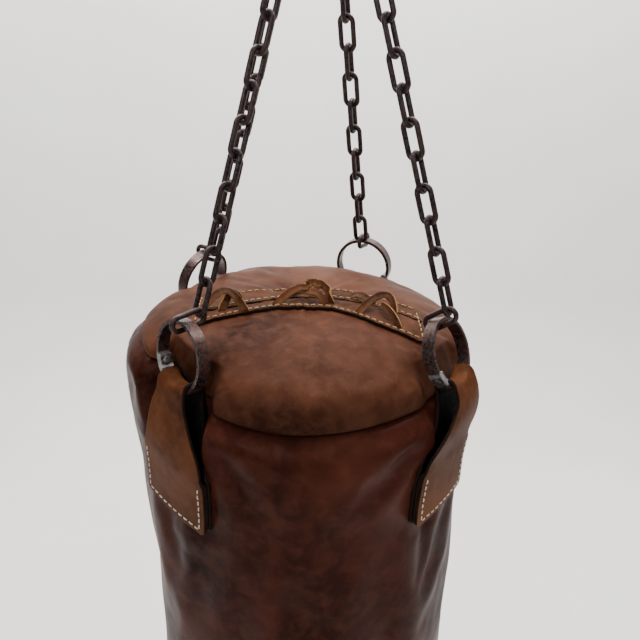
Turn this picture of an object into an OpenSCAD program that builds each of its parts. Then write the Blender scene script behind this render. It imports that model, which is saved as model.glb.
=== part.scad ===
/* [Bag] */
// Diameter of the filled bag below its shoulder
bag_d = 355; // [340:1:370]
// Height of the side panel, seam to seam
side_h = 926; // [700:2:1100]
// Rise of the top above its seam
dome_h = 52; // [48:1:56]
// Drop of the base below its seam
base_h = 26; // [20:1:34]
// How far the seams are drawn in
seam_in = 11; // [9:1:12]
// How far the filling bulges just below the top seam
shoulder_out = 6; // [4:1:7]

/* [Leather] */
// Thickness of the hide
hide_t = 3.2; // [3:0.1:3.4]
// Thickness of the canvas lining
lining_t = 1.2; // [1:0.1:1.5]
// Width of the laced facing on the top
facing_w = 46; // [42:1:50]
// Radius of the arc that the facing follows
facing_arc = 180; // [175:1:190]
// Width of one lacing thong
thong_w = 7; // [6:0.5:8]
// Thread diameter
thread_d = 1.3; // [1:0.1:1.5]

/* [Straps] */
// Distance of each ring's hinge line from the bag's axis
fold_r = 168; // [166:0.5:169]
// Width of the stitched pad
pad_w = 90; // [84:1:92]
// Height of the stitched pad
pad_h = 64; // [58:1:68]
// Width of the strap where it passes through the ring
neck_w = 52; // [46:1:54]

/* [Rings] */
// Middle diameter of a ring
ring_d = 66; // [65:0.5:67]
// Width of the flat bar
bar_w = 12; // [11:0.5:12.5]
// Thickness of the flat bar
bar_t = 3.5; // [3:0.1:3.6]

/* [Chain] */
// Wire diameter of a link
wire = 5; // [4.8:0.1:5]
// Inside length of a link
link_in = 29; // [28.9:0.05:29.1]
// Inside width of a link
link_w = 8.4; // [8.3:0.1:8.8]
// Links between a ring's link and the master link
links = 16; // [16:1:16]

/* [Top fitting] */
// Radius of the hanging eye's bore
eye_bore_r = 10; // [8:0.5:11]
// Thickness of the hanging eye
eye_t = 14; // [12:1:16]
// Radius of the swivel stem
stem_r = 6; // [5:0.5:7]
// Radius of the clevis pin
pin_r = 5; // [4.5:0.5:5.5]
// Wire radius of the master link
master_r = 3.5; // [3.3:0.1:3.6]
// Distance from the eye's centre to the clevis pin
pin_drop = 72; // [70:1:76]
// Distance from the clevis pin to the master link's straight bar
master_drop = 48; // [46:1:52]

/* [Hidden] */
$fn = 48;

// The four corners of the suspension, in the order front right, back right, back left, front left
FR = 0;
BR = 1;
BL = 2;
FL = 3;
strap_az = [-36.5, 66, 143.5, -138];
// Inward lean of each ring, and the side of the ring's bar on which the chain hooks in (1 is outside)
ring_lean = [24, 4, 12, 8];
hook_side = [1, -1, -1, -1];
// Where each chain's last link sits along the master link's bar
bar_y = [-15, 14.5, 4.5, -4.5];

// Levels: the origin is the centre of the hanging eye
apex_z = -pin_drop - master_drop;
seam_z = apex_z - 514;
fold_z = apex_z - 505;
pad_top = seam_z - 58;
pad_bottom = pad_top - pad_h;
bag_r = bag_d / 2;
run_gap = 0.06; // radial clearance of every turning pin
gap = 0.1;      // clearance between pieces that touch
lay = 0.3;      // clearance between the strap's pad and the bag

// --- The bag's outline -------------------------------------------------------------------------

dome_power = 3.2;
shoulder_s = 34;
shoulder_w = 45;
seam_w = 10;
rim_r = bag_r + shoulder_out * exp(-pow(shoulder_s / shoulder_w, 2)) - seam_in;

// Radius of the side wall at a depth below the top seam
function wall_r(depth) = bag_r + shoulder_out * exp(-pow((depth - shoulder_s) / shoulder_w, 2))
    - seam_in * (exp(-pow(depth / seam_w, 2)) + exp(-pow((side_h - depth) / seam_w, 2)));
// Height of the top above its seam at a radius
function dome_z(r, skin = 0) = (dome_h + skin) * pow(1 - pow(r / (rim_r + skin), dome_power), 1 / dome_power);

// A quarter of a rounded cap, from its rim to its centre
function cap(r, h) = [for (a = [5:5:90]) [r * pow(cos(a), 2 / dome_power), h * pow(sin(a), 2 / dome_power)]];
side_depths = concat([for (d = [0:6:96]) d], [for (d = [112:16:144]) d], [for (d = [190:120:side_h - 80]) d],
    [for (d = [side_h - 36:6:side_h]) d]);

// The solid bag, shrunk by an inset (a negative inset grows it)
module bag_solid(inset = 0) {
    top = cap(rim_r - inset, dome_h - inset);
    base = cap(rim_r - inset, base_h - inset);
    side = [for (d = side_depths) [wall_r(d) - inset, -d]];
    outline = concat([for (i = [len(top) - 1:-1:0]) top[i]], side, [for (p = base) [p.x, -side_h - p.y]]);
    translate([0, 0, seam_z])
        rotate_extrude($fn = 96)
            polygon(concat(outline, [[0, -side_h], [0, 0]]));
}

// The bag with the hollows in its shoulder that the straps pull into it
module bag_form(inset = 0) {
    difference() {
        bag_solid(inset);
        for (k = [FR, BR, BL, FL])
            rotate([0, 0, strap_az[k]])
                hollow(k, inset);
    }
}

module above_seam() {
    translate([0, 0, seam_z + 200])
        cube([500, 500, 400], center = true);
}

module below_base() {
    translate([0, 0, seam_z - side_h - 100])
        cube([500, 500, 200], center = true);
}

module shell(outer, inner) {
    difference() {
        bag_form(outer);
        bag_form(inner);
    }
}

module side_panel() {
    color("saddlebrown")
        difference() {
            shell(0, hide_t);
            above_seam();
            below_base();
        }
}

slit_w = 2;

module top_panel() {
    color("sienna")
        difference() {
            intersection() {
                shell(0, hide_t);
                above_seam();
            }
            crescent(facing_arc - slit_w / 2, facing_arc + slit_w / 2, facing_half - 12);
        }
}

module base_panel() {
    color("saddlebrown")
        intersection() {
            shell(0, hide_t);
            below_base();
        }
}

module lining() {
    color("tan")
        shell(hide_t + gap, hide_t + gap + lining_t);
}

module filling() {
    color("lightgray")
        bag_form(hide_t + lining_t + 4 * gap);
}

// --- The straps: a belt that runs up the wall, over the ring's bar and down again -----------------

fold_gap = 8;                 // half the room between the belt's two plies at the ring
ply_side = fold_gap + hide_t / 2;
inner_ply = lay + hide_t / 2;
patch_ply = inner_ply + hide_t + gap;
outer_ply = patch_ply + hide_t + gap;
hollow_half = 15.5;           // half angle of a hollow in the bag's shoulder

function turn(p, lean) = [p.x * cos(lean) - p.y * sin(lean), p.x * sin(lean) + p.y * cos(lean)];
// A point given by its distance outside the ring's plane and its height above the fold, in the strap's plane
function at_fold(k, out, up) = [fold_r, fold_z] + turn([out, up], ring_lean[k]);
function bezier(a, b, c, d, t) = a * pow(1 - t, 3) + 3 * b * t * pow(1 - t, 2) + 3 * c * t * t * (1 - t) + d * pow(t, 3);
function on_wall(z, off) = [wall_r(seam_z - z) + off, z];
pad_levels = [for (i = [0:8]) pad_bottom + i * pad_h / 8];

// Middle line of the inner ply, from the pad's foot to beside the ring
function inner_path(k) = concat(
    [for (z = pad_levels) on_wall(z, inner_ply)],
    [for (i = [1:10]) bezier(on_wall(pad_top, inner_ply), on_wall(pad_top, inner_ply) + [1, 22],
        at_fold(k, -ply_side, -30), at_fold(k, -ply_side, -6), i / 10)],
    [at_fold(k, -ply_side, 4)]);
// Middle line of the outer ply, which bows out before it meets the pad
function outer_path(k) = concat(
    [for (z = pad_levels) on_wall(z, outer_ply)],
    [for (i = [1:10]) bezier(on_wall(pad_top, outer_ply), on_wall(pad_top, outer_ply) + [3, 26],
        at_fold(k, ply_side + 9, -26), at_fold(k, ply_side, -6), i / 10)],
    [at_fold(k, ply_side, 4)]);

function along(path, i) = path[min(i + 1, len(path) - 1)] - path[max(i - 1, 0)];
function normal(path, i) = let (d = along(path, i)) [d.y, -d.x] / norm(d);
function beside(path, off) = [for (i = [0:len(path) - 1]) path[i] + off * normal(path, i)];
function backwards(list) = [for (i = [len(list) - 1:-1:0]) list[i]];

module turned(half_angle) {
    rotate([0, 0, -half_angle])
        rotate_extrude(angle = 2 * half_angle, $fn = 96)
            children();
}

module ply(path, thick = hide_t) {
    turned(hollow_half)
        polygon(concat(beside(path, thick / 2), backwards(beside(path, -thick / 2))));
}

// Everything outside the inner ply, from the pad's top upwards
module hollow(k, inset) {
    path = [for (p = inner_path(k)) if (p.y > pad_top + 1) p];
    face = beside(path, -hide_t / 2 - lay - inset);
    rise = at_fold(k, -fold_gap - hide_t - 0.5 - inset, 110);
    turned(hollow_half + inset / 3)
        polygon(concat([[face[0].x, pad_top + 1], [260, pad_top + 1], [260, rise.y], rise], backwards(face)));
}

module at_ring(k) {
    translate([fold_r, 0, fold_z])
        rotate([0, -ring_lean[k], 0])
            children();
}

// The part of the belt that lies over the ring's bar: a channel turned about the ring's own axis
module saddle(k) {
    top_in = bar_t / 2 + 0.5;
    round_r = 4;
    at_ring(k)
        translate([0, 0, ring_d / 2])
            rotate([0, 90, 0])
                rotate([0, 0, -48])
                    rotate_extrude(angle = 96)
                        difference() {
                            channel_section(ring_d / 2 - top_in - hide_t, ply_side + hide_t / 2, round_r);
                            translate([ring_d / 2 - top_in, -fold_gap])
                                square([60, 2 * fold_gap]);
                        }
}

module channel_section(r, half, round_r) {
    leg_end = ring_d / 2 + 8;
    translate([r + round_r, -half])
        square([leg_end - r - round_r, 2 * half]);
    translate([r, -half + round_r])
        square([leg_end - r, 2 * half - 2 * round_r]);
    for (s = [-1, 1])
        translate([r + round_r, s * (half - round_r)])
            circle(r = round_r);
}

// The belt's shape seen from the front: a neck that widens to the pad's shoulders
module strap_outline(inset = 0) {
    half = pad_w / 2 - inset;
    foot = pad_bottom + inset;
    corner = 6;
    polygon([[-neck_w / 2, fold_z + 22], [-neck_w / 2 - 1, fold_z - 6], [-39, pad_top + 3], [-half + 2, pad_top + 1],
        [-half, pad_top - 3], [-half, foot + corner], [half, foot + corner], [half, pad_top - 3],
        [half - 2, pad_top + 1], [39, pad_top + 3], [neck_w / 2 + 1, fold_z - 6], [neck_w / 2, fold_z + 22]]);
    translate([-half + corner, foot])
        square([2 * half - 2 * corner, 2 * corner]);
    for (s = [-1, 1])
        translate([s * (half - corner), foot + corner])
            circle(r = corner);
}

module seen_from_outside() {
    translate([120, 0, 0])
        rotate([90, 0, 90])
            linear_extrude(120)
                children();
}

module strap(k) {
    color("peru")
        rotate([0, 0, strap_az[k]])
            intersection() {
                union() {
                    ply(inner_path(k));
                    ply(outer_path(k));
                    saddle(k);
                }
                seen_from_outside()
                    strap_outline();
            }
}

// The filler leather between the two plies of the pad
module strap_patch(k) {
    low = pad_bottom + 1;
    high = pad_top - 2;
    path = [for (i = [0:8]) on_wall(low + i * (high - low) / 8, patch_ply)];
    color("peru")
        rotate([0, 0, strap_az[k]])
            intersection() {
                ply(path, hide_t - 2 * gap);
                seen_from_outside()
                    strap_outline(1.5);
            }
}

stitch_pitch = 8;
stitch_len = 5.4;
stitch_in = 6; // from the pad's edge to its stitching

module stitch() {
    cylinder(d = thread_d, h = stitch_len, center = true, $fn = 16);
}

module strap_stitches(k) {
    side_count = 7;
    foot_count = 9;
    face = outer_ply + hide_t / 2 + thread_d / 2 + 0.5;
    foot_z = pad_bottom + stitch_in;
    half = pad_w / 2 - stitch_in;
    color("khaki")
        rotate([0, 0, strap_az[k]]) {
            for (s = [-1, 1], i = [0:side_count - 1]) {
                z = foot_z + stitch_pitch * (i + 0.5);
                r = wall_r(seam_z - z) + face;
                rotate([0, 0, s * asin(half / r)])
                    translate([r, 0, z])
                        stitch();
            }
            for (i = [0:foot_count - 1]) {
                r = wall_r(seam_z - foot_z) + face;
                rotate([0, 0, asin((i - (foot_count - 1) / 2) * stitch_pitch / r)])
                    translate([r, 0, foot_z])
                        rotate([90, 0, 0])
                            stitch();
            }
        }
}

// --- The rings: flat bar, lapped and riveted ------------------------------------------------------

lap_angle = 62; // from the ring's lowest point to its rivet
lap_half = 13;
rivet_r = 2;

// Puts a ring's own frame in place: its axis along Z, its lowest point on +X
module ring_frame(k) {
    rotate([0, 0, strap_az[k]])
        at_ring(k)
            translate([0, 0, ring_d / 2])
                rotate([0, 90, 0])
                    children();
}

module bar_sector(r_in, r_out, half_angle) {
    rotate([0, 0, -half_angle])
        rotate_extrude(angle = 2 * half_angle, $fn = 96)
            translate([r_in, -bar_w / 2])
                square([r_out - r_in, bar_w]);
}

module ring(k) {
    inner = ring_d / 2 - bar_t / 2;
    color("dimgray")
        ring_frame(k)
            difference() {
                union() {
                    difference() {
                        cylinder(r = inner + bar_t, h = bar_w, center = true, $fn = 96);
                        cylinder(r = inner, h = bar_w + 1, center = true, $fn = 96);
                    }
                    rotate([0, 0, -lap_angle])
                        bar_sector(inner - bar_t + 0.5, inner + 0.5, lap_half);
                }
                rotate([0, 0, -lap_angle])
                    rotate([0, 90, 0])
                        cylinder(r = rivet_r + run_gap, h = ring_d);
            }
}

module ring_rivet(k) {
    inner = ring_d / 2 - 3 * bar_t / 2 + 0.5;
    outer = ring_d / 2 + bar_t / 2;
    color("silver")
        ring_frame(k)
            rotate([0, 0, -lap_angle])
                rotate([0, 90, 0]) {
                    translate([0, 0, inner - 1])
                        cylinder(r = rivet_r, h = outer - inner + 1.4);
                    translate([0, 0, inner - 2.2])
                        cylinder(r1 = 2.6, r2 = 4, h = 1.7);
                    translate([0, 0, outer + 0.2])
                        cylinder(r1 = 3.4, r2 = 2.6, h = 0.8);
                }
}

// --- Chain -------------------------------------------------------------------------------------

link_tilt = 13;   // of a ring's link against the bar's width
link_shift = 4;   // of its centre from the bar's centre, towards its chain
crown = (link_in - link_w) / 2;
crown_r = (link_w + wire) / 2;
plain_links = 10; // these lower links hang without a twist

module link() {
    for (s = [-1, 1])
        translate([s * crown_r, 0, 0])
            cylinder(d = wire, h = 2 * crown, center = true, $fn = 24);
    for (s = [0, 1])
        mirror([0, 0, s])
            translate([0, 0, crown])
                rotate([90, 0, 0])
                    rotate_extrude(angle = 180)
                        translate([crown_r, 0])
                            circle(d = wire, $fn = 24);
}

function unit(v) = v / norm(v);
function spun(p, a) = [p.x * cos(a) - p.y * sin(a), p.x * sin(a) + p.y * cos(a), p.z];
// A point in a ring's plane (out, up from the fold) in the part's frame
function ring_point(k, out, up) = let (p = at_fold(k, out, up)) spun([p.x, 0, p.y], strap_az[k]);
function link_out(k) = hook_side[k] * cos(link_tilt);
function crown_point(k) = ring_point(k, (link_shift + crown) * link_out(k),
    ring_d + (link_shift + crown) * sin(link_tilt));
function bar_point(k) = [0, bar_y[k], apex_z];
function pull(k) = unit(bar_point(k) - crown_point(k));
function first_contact(k) = crown_point(k) + pull(k) * link_w / 2;
function pitch(k) = (norm(bar_point(k) - first_contact(k)) + master_r) / links;

// Width direction of a chain's odd links at its foot, and the turn that sets the last one on the bar
function foot_width(k) = let (t = spun([0, 1, 0], strap_az[k]), u = pull(k)) unit(t - (t * u) * u);
function wrapped(a) = a > 90 ? a - 180 : (a < -90 ? a + 180 : a);
function end_twist(k) = let (u = pull(k), even = cross(u, foot_width(k)), want = unit(cross([0, 1, 0], u)))
    wrapped(atan2(cross(even, want) * u, even * want));
function link_width(k, n) = let (u = pull(k), odd = foot_width(k), even = cross(u, odd),
    base = n % 2 == 1 ? odd : even,
    a = end_twist(k) * max(0, n - plain_links) / (links - plain_links))
    base * cos(a) + cross(u, base) * sin(a);

module set_link(centre, long, width) {
    n = cross(long, width);
    multmatrix([[width.x, n.x, long.x, centre.x], [width.y, n.y, long.y, centre.y],
        [width.z, n.z, long.z, centre.z], [0, 0, 0, 1]])
        link();
}

module chain(k) {
    color("saddlebrown")
        for (n = [1:links])
            set_link(first_contact(k) + pull(k) * pitch(k) * (n - 0.5), pull(k), link_width(k, n));
}

module ring_link(k) {
    color("saddlebrown")
        rotate([0, 0, strap_az[k]])
            at_ring(k)
                translate([link_shift * link_out(k), 0, ring_d + link_shift * sin(link_tilt)])
                    rotate([0, hook_side[k] * (90 - link_tilt), 0])
                        link();
}

// --- Laced facing on the top ---------------------------------------------------------------------

facing_half = 112; // half its length along X

// A band between two arcs about a point in front of the bag
module crescent(r_in, r_out, half_len) {
    translate([0, 0, seam_z])
        linear_extrude(100)
            intersection() {
                translate([0, -facing_arc])
                    difference() {
                        circle(r = r_out, $fn = 96);
                        circle(r = r_in, $fn = 96);
                    }
                translate([-half_len, -100])
                    square([2 * half_len, 200]);
            }
}

module facing(r_in, r_out) {
    color("chocolate")
        intersection() {
            difference() {
                bag_solid(-gap - hide_t);
                bag_solid(-gap);
            }
            crescent(r_in, r_out, facing_half);
        }
}

module facing_front() {
    facing(facing_arc - facing_w / 2, facing_arc - slit_w / 2);
}

module facing_back() {
    facing(facing_arc + slit_w / 2, facing_arc + facing_w / 2);
}

// Height of the facing's upper face at a point
function facing_z(x, y) = seam_z + dome_z(norm([x, y]), gap + hide_t);
function arc_point(r, a) = [r * sin(a), r * cos(a) - facing_arc];

// The thongs, left to right: how far along X and how they slant
thongs = [[-84, 35], [-12, 25], [70, -30]];
thong_r = 17;
foot_clear = 8.5; // from the middle of a thong's foot to the nearest stitch
function thong_at(t) = arc_point(facing_arc, asin(t[0] / facing_arc));
thong_feet = [for (t = thongs, s = [-1, 1]) thong_at(t) + s * (thong_r - 2) * [cos(t[1]), sin(t[1])]];

module facing_stitches() {
    rows = [facing_arc - facing_w / 2 + 4, facing_arc - 5, facing_arc + 5, facing_arc + facing_w / 2 - 4];
    color("khaki")
        for (r = rows, i = [-13:13]) {
            a = i * stitch_pitch * 180 / PI / facing_arc;
            p = arc_point(r, a);
            if (abs(p.x) < facing_half - 5 && min([for (f = thong_feet) norm(f - p)]) > foot_clear)
                translate([p.x, p.y, facing_z(p.x, p.y) + thread_d / 2 + 0.8])
                    rotate([0, 0, -a])
                        rotate([0, 90, 0])
                            stitch();
        }
}

// A thong that comes out of one slot, arches over the slit and goes into another
module thong(n) {
    thick = 2.6;
    p = thong_at(thongs[n]);
    color("sienna")
        translate([p.x, p.y, facing_z(p.x, p.y) + 1.2])
            rotate([0, 0, thongs[n][1]])
                intersection() {
                    translate([0, 0, -6])
                        rotate([90, 0, 0])
                            rotate_extrude()
                                translate([thong_r - thick, -thong_w / 2])
                                    square([thick, thong_w]);
                    translate([-30, -30, 0])
                        cube([60, 60, 30]);
                }
}

// --- Seam threads of the bag's body --------------------------------------------------------------

module side_seam_stitches() {
    count = 52;
    step = 16;
    color("khaki")
        for (i = [0:count - 1]) {
            depth = 50 + i * step;
            rotate([0, 0, 105])
                translate([wall_r(depth) + thread_d / 2 + 0.5, 0, seam_z - depth])
                    stitch();
        }
}

module base_seam_stitches() {
    count = 90;
    depth = side_h - 14;
    color("khaki")
        for (i = [0:count - 1])
            rotate([0, 0, i * 360 / count])
                translate([wall_r(depth) + thread_d / 2 + 0.6, 0, seam_z - depth])
                    rotate([90, 0, 0])
                        stitch();
}

// --- Top fitting: eye, swivel, clevis pin and master link -------------------------------------------

eye_r = eye_bore_r + 9;
collar_r = 10;
bridge_top = -30;
bridge_t = 12;
bridge_bottom = bridge_top - bridge_t;
washer_t = 3;
nut_t = 8;
nut_r = 10; // over its corners
slot_half = nut_r + 1.5;
cheek_t = 6;
bow_half = slot_half + cheek_t;
cheek_r = 13;

module swivel_eye() {
    color("dimgray")
        difference() {
            union() {
                rotate([90, 0, 0])
                    cylinder(r = eye_r, h = eye_t, center = true, $fn = 96);
                translate([0, 0, bridge_top + washer_t + gap])
                    cylinder(r = collar_r, h = -bridge_top - washer_t - gap - eye_r + 4);
                translate([0, 0, bridge_bottom - nut_t - 2])
                    cylinder(r = stem_r, h = -bridge_bottom + nut_t + 2 - eye_r + 2);
            }
            rotate([90, 0, 0])
                cylinder(r = eye_bore_r, h = eye_t + 2, center = true, $fn = 96);
        }
}

module thrust_washer() {
    color("silver")
        translate([0, 0, bridge_top + gap / 2])
            difference() {
                cylinder(r = collar_r + 2, h = washer_t);
                translate([0, 0, -1])
                    cylinder(r = stem_r + run_gap, h = washer_t + 2);
            }
}

module swivel_nut() {
    color("silver")
        translate([0, 0, bridge_bottom - nut_t - 0.2])
            difference() {
                cylinder(r = nut_r, h = nut_t, $fn = 6);
                translate([0, 0, -1])
                    cylinder(r = stem_r + run_gap, h = nut_t + 2);
            }
}

module swivel_bow() {
    color("dimgray")
        difference() {
            union() {
                translate([-bow_half, -cheek_r, bridge_bottom])
                    cube([2 * bow_half, 2 * cheek_r, bridge_t]);
                for (s = [-1, 1])
                    translate([s * (slot_half + cheek_t / 2), 0, -pin_drop]) {
                        rotate([0, 90, 0])
                            cylinder(r = cheek_r, h = cheek_t, center = true, $fn = 64);
                        translate([-cheek_t / 2, -cheek_r, 0])
                            cube([cheek_t, 2 * cheek_r, pin_drop + bridge_bottom]);
                    }
            }
            translate([0, 0, bridge_bottom - 1])
                cylinder(r = stem_r + run_gap, h = bridge_t + 2);
            translate([0, 0, -pin_drop])
                rotate([0, 90, 0])
                    cylinder(r = pin_r + run_gap, h = 3 * bow_half, center = true);
        }
}

module clevis_pin() {
    head_t = 4;
    tail = 9;
    color("silver")
        translate([0, 0, -pin_drop])
            rotate([0, 90, 0])
                difference() {
                    union() {
                        translate([0, 0, -bow_half - gap - head_t])
                            cylinder(r = pin_r + 3, h = head_t);
                        translate([0, 0, -bow_half - gap - 1])
                            cylinder(r = pin_r, h = 2 * bow_half + gap + 1 + tail);
                    }
                    translate([0, 0, bow_half + cotter_out])
                        rotate([0, 90, 0])
                            cylinder(r = cotter_r + run_gap, h = 40, center = true);
                }
}

cotter_r = 1.5;
cotter_out = 4;

module cotter() {
    eye = 3.5;
    color("silver")
        translate([bow_half + cotter_out, 0, -pin_drop]) {
            translate([0, 0, -pin_r - 6])
                cylinder(r = cotter_r, h = 2 * pin_r + 8, $fn = 24);
            translate([0, 0, pin_r + 2 + eye])
                rotate([0, 90, 0])
                    rotate_extrude()
                        translate([eye, 0])
                            circle(r = cotter_r, $fn = 24);
        }
}

// A dee: a narrow arch over the clevis pin, two flaring sides and a straight bar for the chains
module master_link() {
    arch_r = pin_r + gap + master_r;
    corner_y = 20;
    rise = master_drop - arch_r;
    slope = atan2(corner_y, rise);
    side_len = norm([corner_y, rise]);
    color("dimgray")
        translate([0, 0, -pin_drop])
            rotate([90, 0, 90]) {
                rotate([0, 0, slope])
                    wire_arc(arch_r, 180 - 2 * slope);
                for (s = [0, 1])
                    mirror([s, 0, 0]) {
                        rotate([0, 0, slope])
                            translate([arch_r, 0, 0])
                                rotate([90, 0, 0])
                                    cylinder(r = master_r, h = side_len);
                        translate([corner_y, -rise, 0])
                            rotate([0, 0, -90])
                                wire_arc(arch_r, 90 + slope);
                    }
                translate([-corner_y, -master_drop, 0])
                    rotate([0, 90, 0])
                        cylinder(r = master_r, h = 2 * corner_y);
            }
}

module wire_arc(r, angle) {
    rotate_extrude(angle = angle)
        translate([r, 0])
            circle(r = master_r, $fn = 32);
}

swivel_eye();
thrust_washer();
swivel_nut();
swivel_bow();
clevis_pin();
cotter();
master_link();
chain(FR);  // chain_fr
chain(BR);  // chain_br
chain(BL);  // chain_bl
chain(FL);  // chain_fl
ring_link(FR);  // ring_link_fr
ring_link(BR);  // ring_link_br
ring_link(BL);  // ring_link_bl
ring_link(FL);  // ring_link_fl
ring(FR);  // ring_fr
ring(BR);  // ring_br
ring(BL);  // ring_bl
ring(FL);  // ring_fl
ring_rivet(FR);  // ring_rivet_fr
ring_rivet(BR);  // ring_rivet_br
ring_rivet(BL);  // ring_rivet_bl
ring_rivet(FL);  // ring_rivet_fl
strap(FR);  // strap_fr
strap(BR);  // strap_br
strap(BL);  // strap_bl
strap(FL);  // strap_fl
strap_patch(FR);  // strap_patch_fr
strap_patch(BR);  // strap_patch_br
strap_patch(BL);  // strap_patch_bl
strap_patch(FL);  // strap_patch_fl
strap_stitches(FR);  // strap_stitches_fr
strap_stitches(BR);  // strap_stitches_br
strap_stitches(BL);  // strap_stitches_bl
strap_stitches(FL);  // strap_stitches_fl
side_panel();
top_panel();
base_panel();
lining();
filling();
facing_front();
facing_back();
facing_stitches();
thong(0);  // thong_left
thong(1);  // thong_middle
thong(2);  // thong_right
side_seam_stitches();
base_seam_stitches();
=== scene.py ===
import math

import bpy
import numpy as np
from mathutils import Matrix, Vector, noise
from mathutils.bvhtree import BVHTree


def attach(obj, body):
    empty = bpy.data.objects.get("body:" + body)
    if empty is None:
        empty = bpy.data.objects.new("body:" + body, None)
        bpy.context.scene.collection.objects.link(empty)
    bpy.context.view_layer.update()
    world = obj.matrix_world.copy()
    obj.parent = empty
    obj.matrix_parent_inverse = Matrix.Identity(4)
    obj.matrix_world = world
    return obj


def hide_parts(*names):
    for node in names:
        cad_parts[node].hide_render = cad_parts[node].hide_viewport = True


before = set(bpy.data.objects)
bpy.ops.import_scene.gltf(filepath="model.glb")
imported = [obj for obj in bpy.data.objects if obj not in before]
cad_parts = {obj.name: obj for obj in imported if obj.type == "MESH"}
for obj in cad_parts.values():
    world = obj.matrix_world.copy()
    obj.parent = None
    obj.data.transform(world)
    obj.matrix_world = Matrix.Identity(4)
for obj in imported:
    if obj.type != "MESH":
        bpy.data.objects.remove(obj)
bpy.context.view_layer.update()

MM = 0.001
CORNERS = ("fr", "br", "bl", "fl")

# Sizes that the bag's leather shares with the frame, in millimetres
APEX_Z = -120.0
SEAM_Z = APEX_Z - 514.0
FOLD_Z = APEX_Z - 505.0
PAD_TOP = SEAM_Z - 58.0
PAD_BOTTOM = PAD_TOP - 64.0
SIDE_H = 926.0
DOME_H = 52.0
BASE_H = 26.0
BAG_R = 177.5
SHOULDER_OUT = 6.0
SEAM_IN = 11.0
HIDE_T = 3.2
FOLD_R = 168.0
PAD_HALF = 45.0
NECK_HALF = 23.5
STRAP_AZ = dict(fr=-36.5, br=66.0, bl=143.5, fl=-138.0)
RING_LEAN = dict(fr=24.0, br=4.0, bl=12.0, fl=8.0)


# --- Camera, light and floor ----------------------------------------------------------------------

LENS_MM = 37.05
CAMERA_AT = Vector((-21.1, -644.5, -315.4)) * MM
PITCH, YAW, ROLL = (math.radians(a) for a in (24.04, 2.5, 1.84))
FLOOR_Z = -1.74


def make_camera():
    forward = Vector((math.sin(YAW) * math.cos(PITCH), math.cos(YAW) * math.cos(PITCH), -math.sin(PITCH)))
    level = Vector((math.cos(YAW), -math.sin(YAW), 0.0))
    above = level.cross(forward)
    right = level * math.cos(ROLL) + above * math.sin(ROLL)
    up = above * math.cos(ROLL) - level * math.sin(ROLL)
    data = bpy.data.cameras.new("camera")
    data.lens = LENS_MM
    data.sensor_width = 36.0
    data.clip_start = 0.01
    cam = bpy.data.objects.new("camera", data)
    cam.matrix_world = Matrix.Translation(CAMERA_AT) @ Matrix((right, up, -forward)).transposed().to_4x4()
    bpy.context.collection.objects.link(cam)
    bpy.context.scene.camera = cam


def area_light(name, at, target, size, power, colour=(1.0, 1.0, 1.0)):
    data = bpy.data.lights.new(name, "AREA")
    data.shape = "RECTANGLE"
    data.size, data.size_y = size
    data.energy = power
    data.color = colour
    lamp = bpy.data.objects.new(name, data)
    lamp.location = at
    lamp.rotation_mode = "QUATERNION"
    lamp.rotation_quaternion = (Vector(target) - Vector(at)).to_track_quat("-Z", "Y")
    bpy.context.collection.objects.link(lamp)


def make_lights():
    world = bpy.data.worlds.new("studio")
    bpy.context.scene.world = world
    world.use_nodes = True
    world.node_tree.nodes["Background"].inputs["Color"].default_value = (0.90, 0.93, 1.0, 1.0)
    world.node_tree.nodes["Background"].inputs["Strength"].default_value = 0.30
    middle = (0.0, 0.0, -0.75)
    area_light("ceiling", (0.1, 0.7, 1.5), middle, (2.8, 1.4), 78.0, (1.0, 0.98, 0.96))
    area_light("window", (1.5, -1.8, 0.85), middle, (0.7, 0.9), 12.0, (0.86, 0.92, 1.0))
    area_light("fill", (-1.0, -2.0, 0.75), middle, (0.8, 0.9), 24.0, (0.86, 0.93, 1.0))
    area_light("wall_wash", (0.0, 0.5, 1.3), (0.0, 1.7, -0.4), (3.4, 0.5), 105.0, (1.0, 0.985, 0.965))


def make_floor():
    """A pale floor that curves up into a wall."""
    bend, back, half, high = 0.5, 1.7, 5.0, 2.4
    section = [(-5.0, FLOOR_Z)]
    for i in range(13):
        a = math.pi / 2 * i / 12
        section.append((back - bend + bend * math.sin(a), FLOOR_Z + bend - bend * math.cos(a)))
    section.append((back, high))
    verts = [(x, y, z) for y, z in section for x in (-half, half)]
    faces = [(2 * i, 2 * i + 1, 2 * i + 3, 2 * i + 2) for i in range(len(section) - 1)]
    mesh = bpy.data.meshes.new("floor")
    mesh.from_pydata(verts, [], faces)
    for p in mesh.polygons:
        p.use_smooth = True
    floor = bpy.data.objects.new("floor", mesh)
    bpy.context.collection.objects.link(floor)
    m = Material("floor_plain")
    grain = m.noise(2.5, 4.0)
    m.colour(m.ramp(grain, [(0.3, (0.90, 0.87, 0.84)), (0.7, (0.94, 0.925, 0.905))]))
    m.roughness(0.8)
    m.clear_from_behind()
    mesh.materials.append(m.done())


# --- Node materials -------------------------------------------------------------------------------

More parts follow.
